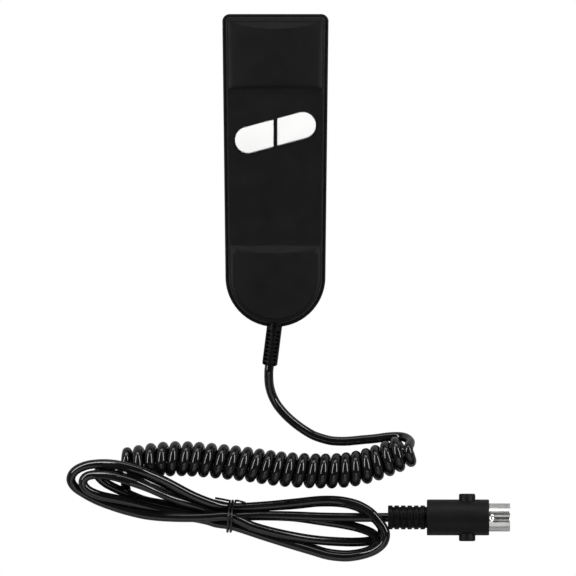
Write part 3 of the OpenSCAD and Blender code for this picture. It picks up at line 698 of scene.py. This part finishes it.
def cord_radius(line):
    """The cord's radius along its line: a little fuller where it is wound into the coil."""
    ways = np.diff(line, axis=0)
    lengths = np.linalg.norm(ways, axis=1)
    ways /= lengths[:, None]
    bend = np.arccos(np.clip(np.sum(ways[1:] * ways[:-1], axis=1), -1, 1)) / lengths[1:]
    wound = (np.concatenate([bend[:1], bend, bend[-1:]]) > COIL_BEND).astype(float)
    wide = np.pad(wound, COIL_WINDOW // 2, mode="edge")
    wound = np.convolve(wide, np.ones(COIL_WINDOW) / COIL_WINDOW, mode="valid")
    return CORD_R + COIL_EXTRA * np.clip((wound - 0.5) * 3, 0, 1)


def tube(name, line, radius, sides, material):
    """A round wire with rounded ends along a line, with rings that turn as little as possible."""
    radius = np.broadcast_to(radius, len(line)).astype(float)
    first, last = line[0] - line[1], line[-1] - line[-2]
    first, last = first / np.linalg.norm(first), last / np.linalg.norm(last)
    steps = np.radians([85, 65, 40, 20])
    head = [line[0] + first * radius[0] * 0.5 * math.sin(a) for a in steps]
    tail = [line[-1] + last * radius[-1] * 0.5 * math.sin(a) for a in steps[::-1]]
    ends = [radius[0] * math.cos(a) for a in steps]
    line = np.vstack([head, line, tail])
    radius = np.concatenate([ends, radius, ends[::-1]])
    ways = np.gradient(line, axis=0)
    ways /= np.linalg.norm(ways, axis=1)[:, None]
    up = np.array([0, 0, 1.0]) if abs(ways[0][2]) < 0.9 else np.array([1.0, 0, 0])
    points = []
    for way, middle, r in zip(ways, line, radius):
        up = up - way * np.dot(up, way)
        up /= np.linalg.norm(up)
        side = np.cross(way, up)
        for a in np.linspace(0, 2 * math.pi, sides, endpoint=False):
            points.append(middle + r * (math.cos(a) * up + math.sin(a) * side))
    faces = ring_faces(range(len(line)), sides)
    faces += [list(range(sides)), list(range(len(points) - sides, len(points)))]
    return new_object(name, points, faces, material, 60)


# ---------------------------------------------------------------- strain reliefs and plug

BORE_R = 2.2  # of both strain reliefs and the housing's end, where the cord goes in


def mouth(line):
    """Where the cord's straight start crosses the handset's end, and which way it goes."""
    start, after = (line[-1], line[-3]) if line[-1][1] > line[0][1] else (line[0], line[2])
    way = (after - start) / np.linalg.norm(after - start)
    return start + way * (REAR_LOW[1] - start[1]) / way[1], way


CORD_LINE = centre_line("cord_jacket", 8)
MOUTH, MOUTH_WAY = mouth(CORD_LINE)


def sleeve(name, rule, lengths, angles):
    """A closed sleeve about Z whose outer radius is rule(angle, z); angle 0 faces up."""
    rings = [[(rule(a, z), a, z) for a in angles] for z in lengths]
    rings += [[(BORE_R, a, z) for a in angles] for z in (lengths[-1], lengths[0])]
    points = [(r * math.cos(a), r * math.sin(a), z) for ring in rings for r, a, z in ring]
    faces = ring_faces([*range(len(rings)), 0], len(angles))
    return new_object(name, points, faces, BOOT, 45)


def cord_boot():
    """The handset's strain relief: slots in front and behind, on both sides of a web."""
    length, radius, core = 18.3, 3.6, 2.26
    pitch, slot_w, slot_count = 1.9, 0.95, 9
    neck_z, neck_in = -0.82, 0.6  # below this, inside the handset, it is thinner by this
    lip = 0.1  # the slots' edges are chamfered by about this much
    edge = math.asin(0.45 / radius)  # half of the web's width, as an angle
    flank = edge + 0.06
    rail = math.radians(60)  # the slots end here, so that each side stays whole
    slots = [pitch * (i + 1) for i in range(slot_count)]
    lengths = [-3.0, neck_z - 0.03, neck_z + 0.02, 0.0]
    for s in slots:
        start, end = s - slot_w / 2, s + slot_w / 2
        lengths += [start - lip, start, start + 0.02, end - 0.02, end, end + lip]
    lengths += [length - 1 + math.sin(a) for a in np.radians([0, 25, 50, 70, 85])]
    angles = []
    for middle in (0, math.pi):
        angles += [middle + a for a in (-flank, -edge, -edge / 3, edge / 3, edge, flank)]
        angles += list(np.linspace(middle + flank, middle + math.pi - flank, 20)[1:-1])
        angles += [middle + way * (rail + step) for way in (-1, 1) for step in (-0.02, 0.02)]
    angles = sorted(a % (2 * math.pi) for a in angles)

    def rule(a, z):
        """The outer radius: full, or down to the core in a slot, with a round free end."""
        off_web = math.atan2(abs(math.sin(a)), abs(math.cos(a)))
        r = radius
        if z > length - 1:
            r -= 1 - math.sqrt(max(0, 1 - (z - length + 1) ** 2))
        if z < neck_z:
            return r - neck_in
        if edge + 0.03 < off_web < rail:
            for s in slots:
                depth = slot_w / 2 - abs(z - s)
                if depth > 0.01:
                    return core
                if depth > -0.01:
                    return radius - 0.12  # the slot's chamfered edge
        return r

    return place(sleeve("cord_boot_skin", rule, lengths, angles), MOUTH, MOUTH_WAY)


HOUSING_LOW, HOUSING_HIGH = box_mm("plug_housing")
PLUG_BOOT_LOW, PLUG_BOOT_HIGH = box_mm("plug_boot")
SHIELD_LOW, SHIELD_HIGH = box_mm("plug_shield")
PLUG_Y = (HOUSING_LOW[1] + HOUSING_HIGH[1]) / 2
PLUG_Z = (HOUSING_LOW[2] + HOUSING_HIGH[2]) / 2
HOUSING_R = (HOUSING_HIGH[2] - HOUSING_LOW[2]) / 2
SHIELD_R = (SHIELD_HIGH[2] - SHIELD_LOW[2]) / 2
PLUG_X = PLUG_BOOT_LOW[0]


def plug_boot():
    """The plug's strain relief: broad ribs with rounded shoulders."""
    length = PLUG_BOOT_HIGH[0] - PLUG_BOOT_LOW[0]
    pitch, rib_w, groove_r, soft = 3.05, 2.15, 5.0, 0.35
    rib_r = (PLUG_BOOT_HIGH[2] - PLUG_BOOT_LOW[2]) / 2
    lengths = [0.0, 0.08, 0.2] + list(np.arange(0.3, length - 0.05, 0.12)) + [length]
    angles = list(np.linspace(0, 2 * math.pi, 96, endpoint=False))

    def rule(_, z):
        """The outer radius, which is the same all round."""
        along = z % pitch
        if along > rib_w:
            return groove_r
        near = min(along, rib_w - along)
        return rib_r - soft + math.sqrt(max(0, soft**2 - max(0, soft - near) ** 2))

    return place(sleeve("plug_boot_skin", rule, lengths, angles), (PLUG_X, PLUG_Y, PLUG_Z), (1, 0, 0))


def rounded_profile(corners, radius, steps=4):
    """A closed outline whose corners are rounded off."""
    made = []
    n = len(corners)
    for i in range(n):
        before, here, after = (np.array(corners[(i + k) % n], float) for k in (-1, 0, 1))
        a, b = before - here, after - here
        reach = min(radius, np.linalg.norm(a) / 2.2, np.linalg.norm(b) / 2.2)
        p, q = here + a / np.linalg.norm(a) * reach, here + b / np.linalg.norm(b) * reach
        for t in np.linspace(0, 1, steps + 1):
            made.append(tuple((1 - t) ** 2 * p + 2 * t * (1 - t) * here + t * t * q))
    return made


def plug_housing():
    """The plug's barrel, with a stud on each side that locks it in a socket."""
    length = HOUSING_HIGH[0] - HOUSING_LOW[0]
    seat_r, seat_depth = SHIELD_R + 0.02, 11  # the room for the shield
    corners = [(BORE_R, 0), (HOUSING_R, 0), (HOUSING_R, length), (seat_r, length),
               (seat_r, length - seat_depth), (BORE_R, length - seat_depth)]
    barrel = turned("plug_housing_skin", rounded_profile(corners, 0.45), PLUG, 128)
    place(barrel, (HOUSING_LOW[0], PLUG_Y, PLUG_Z), (1, 0, 0))
    lug_r, lug_x = 3.87, PLUG_X + 37.2
    root = 6.75  # the studs start inside the barrel's wall
    reach = HOUSING_HIGH[1] - PLUG_Y
    rim = 0.7  # radius of the studs' rounded edge
    dish = 0.12  # depth of the flat in their ends
    stud = [(0.0, root), (lug_r, root)]
    stud += [(lug_r - rim + rim * math.cos(a), reach - rim + rim * math.sin(a))
             for a in np.radians(np.linspace(0, 90, 7))]
    stud += [(2.0, reach), (1.8, reach - dish), (0.0, reach - dish)]
    for side in (-1, 1):
        lug = turned("lug", stud, PLUG, 64, 40)
        cut(barrel, place(lug, (lug_x, PLUG_Y, PLUG_Z), (0, side, 0)), "UNION")
    shade(barrel, 32)
    return barrel


def plug_shield():
    """The metal shell: a thin tube whose key is pressed inwards as a channel with a round end."""
    length = SHIELD_HIGH[0] - HOUSING_HIGH[0]  # that stands out of the housing
    seat, thick = 9.0, 0.5
    key_r, key_at = 2.1, 2.6  # the channel's radius, and where its round end begins
    key_x = SHIELD_R - thick
    flank = 2.5  # how steeply the skin rises beside the channel
    half = key_r + 0.5
    across = list(np.linspace(-half, half, 81))
    edge = math.asin(half / SHIELD_R)
    around = np.linspace(edge, 2 * math.pi - edge, 91)[1:-1]

    def skin(radius, channel, z):
        """One ring of the tube at the distance z, with its channel."""
        ring = []
        for y in across:
            off = math.hypot(y, min(0.0, z - key_at))
            x = math.sqrt(radius**2 - y**2)
            if off < channel:
                x = min(x, key_x - math.sqrt(channel**2 - off**2))
            else:
                x = min(x, key_x + flank * (off - channel))
            ring.append((x, y, z))
        return ring + [(radius * math.cos(a), radius * math.sin(a), z) for a in around]

    lengths = [-seat, -4.0, 0.0] + list(np.arange(0.05, key_at, 0.05))
    lengths += [key_at, 3.5, 5.0, 7.0, length - 0.6, length - 0.3, length - 0.2]
    rings = [skin(SHIELD_R, key_r, z) for z in lengths]
    rings.append(skin(SHIELD_R - 0.04, key_r + 0.04, length - 0.05))
    rings.append(skin(SHIELD_R - 0.1, key_r + 0.1, length))
    rings.append(skin(SHIELD_R - thick + 0.1, key_r + thick - 0.15, length))
    rings += [skin(SHIELD_R - thick, key_r + thick - 0.1, z) for z in lengths[::-1]]
    points = [p for ring in rings for p in ring]
    faces = ring_faces([*range(len(rings)), 0], len(rings[0]))
    shield = new_object("plug_shield_skin", points, faces, NICKEL, 40)
    return place(shield, (HOUSING_HIGH[0], PLUG_Y, PLUG_Z), (1, 0, 0))


# ---------------------------------------------------------------- assembly

SCREWS = [(-17.5, 61), (17.5, 61), (-14.5, -46), (14.5, -46)]
TOWER_R, WELL_R, WELL_DEPTH = 4.8, 3.0, 5
LABEL_Y, LABEL_HALF, LABEL_DEPTH = 26, (15, 20), 0.4


def boot_hole():
    """The cutter for the hole in both shells that the cord's strain relief goes through."""
    neck_r, mouth_r, step_z = 3.1, 3.7, -0.95
    profile = [(0.0, -9), (neck_r, -9), (neck_r, step_z), (mouth_r, step_z), (mouth_r, 4), (0.0, 4)]
    return place(turned("boot_hole", profile, REAR, 48), MOUTH, MOUTH_WAY)


def label_recess():
    """The cutter for the shallow recess in the back, left blank."""
    half_x, half_y = LABEL_HALF
    corners = [(x * half_x, LABEL_Y + y * half_y) for x, y in ((-1, -1), (1, -1), (1, 1), (-1, 1))]
    return prism(rounded_profile(corners, 2.0, 6), -1, LABEL_DEPTH)


front = front_shell()
for cap_side in (-1, 1):
    cut(front, opening(cap_side))
cut(front, boot_hole())
shade(front, 32)
finish_piece(front, "front_shell")

rear = rear_shell()
towers = merge([prism(disc(x, y, TOWER_R), 1.0, SPLIT_Z - 0.5) for x, y in SCREWS], "towers")
cut(rear, towers, "UNION")
cut(rear, merge([prism(disc(x, y, WELL_R), -1, WELL_DEPTH) for x, y in SCREWS], "wells"))
cut(rear, label_recess())
cut(rear, boot_hole())
shade(rear, 32)
finish_piece(rear, "rear_shell")

for cap_side, name in ((-1, "button_left"), (1, "button_right")):
    finish_piece(button(cap_side, name + "_cap"), name, name)

cord_way = relaxed(smooth_line(CORD_LINE, 5), 3)
finish_piece(tube("cord", cord_way, cord_radius(cord_way), 24, CORD), "cord_jacket")
tie_way = smooth_line(centre_line("twist_tie", 6), 4)
finish_piece(tube("tie_wire", tie_way, 0.5, 12, TIE), "twist_tie")
finish_piece(cord_boot(), "cord_boot")
finish_piece(plug_boot(), "plug_boot")
finish_piece(plug_housing(), "plug_housing")
finish_piece(plug_shield(), "plug_shield")


# ---------------------------------------------------------------- stage, light and camera


def paper():
    """White to the camera, grey to all other light, and clear from below to show the back."""
    n = Nodes("floor_paper")

    def either(choice, output, first, second):
        """The first shader where a node's output is 0, and the second where it is 1."""
        mix = n.add("ShaderNodeMixShader")
        n.link(choice, output, mix, 0)
        n.link(first, 0, mix, 1)
        n.link(second, 0, mix, 2)
        return mix

    grey = n.add("ShaderNodeBsdfDiffuse", Color=(0.4, 0.4, 0.4, 1))
    seen = either(n.add("ShaderNodeLightPath"), "Is Camera Ray", grey, n.add("ShaderNodeEmission"))
    clear = n.add("ShaderNodeBsdfTransparent")
    above = either(n.add("ShaderNodeNewGeometry"), "Backfacing", seen, clear)
    n.link(above, 0, n.output, "Surface")
    return n.material


def floor():
    """The plain floor that the object lies on."""
    work = bmesh.new()
    bmesh.ops.create_grid(work, x_segments=1, y_segments=1, size=6)
    mesh = bpy.data.meshes.new("floor")
    work.to_mesh(mesh)
    work.free()
    mesh.materials.append(paper())
    thing = in_scene("floor", mesh)
    thing.location.z = -0.0002
    thing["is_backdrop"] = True


def softbox(name, direction, distance, height, power):
    """A wide area light that faces the object from a direction. Metres and watts."""
    data = bpy.data.lights.new(name, "AREA")
    data.shape = "RECTANGLE"
    data.size = SOFTBOX_WIDTH
    data.size_y = height
    data.energy = power
    way = np.array(direction, float) / np.linalg.norm(direction)
    thing = in_scene(name, data)
    thing.location = tuple(np.array(TARGET) + way * distance)
    thing.rotation_mode = "QUATERNION"
    thing.rotation_quaternion = Vector(-way).to_track_quat("-Z", "Y")
    thing.visible_camera = False


def surroundings():
    """A pale world that is dark overhead."""
    world = bpy.data.worlds.new("studio")
    bpy.context.scene.world = world
    world.use_nodes = True
    tree = world.node_tree
    background = tree.nodes["Background"]
    background.inputs["Color"].default_value = (1, 1, 1, 1)
    direction = tree.nodes.new("ShaderNodeTexCoord")
    split = tree.nodes.new("ShaderNodeSeparateXYZ")
    level = tree.nodes.new("ShaderNodeMapRange")
    limits = {"From Min": 0.0, "From Max": 0.7, "To Min": 0.24, "To Max": 0.03}
    for socket, value in limits.items():
        level.inputs[socket].default_value = value
    tree.links.new(direction.outputs["Generated"], split.inputs[0])
    tree.links.new(split.outputs["Z"], level.inputs["Value"])
    tree.links.new(level.outputs["Result"], background.inputs["Strength"])


low_corner, high_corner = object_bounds()
centre = (low_corner + high_corner) / 2
TARGET = (centre.x, centre.y, 0.01)
SOFTBOX_WIDTH = 1.2
softbox("key_left", (-0.74, 0.27, 0.67), 1.1, 0.22, 10.5)
softbox("key_right", (0.74, 0.27, 0.67), 1.1, 0.22, 10.5)
softbox("back", (0.0, 0.9, 0.42), 1.3, 0.4, 5)
softbox("front_high", (0.0, -0.62, 0.8), 1.3, 0.16, 0.9)
softbox("front_wide", (0.0, -0.85, 0.5), 1.3, 0.9, 2.3)
surroundings()
floor()

FRAME_WIDTH = 0.2707  # what the picture spans, in metres
FRAME_X, FRAME_Y, FRAME_Z = 0.0059, -0.05515, 0.010  # its middle, half way up the object
camera_data = bpy.data.cameras.new("camera")
camera_data.lens = 800
camera_data.sensor_width = 36
camera_data.clip_end = 20
camera = in_scene("camera", camera_data)
distance = FRAME_WIDTH * camera_data.lens / camera_data.sensor_width
camera.location = (FRAME_X, FRAME_Y, FRAME_Z + distance)
bpy.context.scene.camera = camera
bpy.context.scene.view_settings.view_transform = "Standard"

low_corner, high_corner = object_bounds()
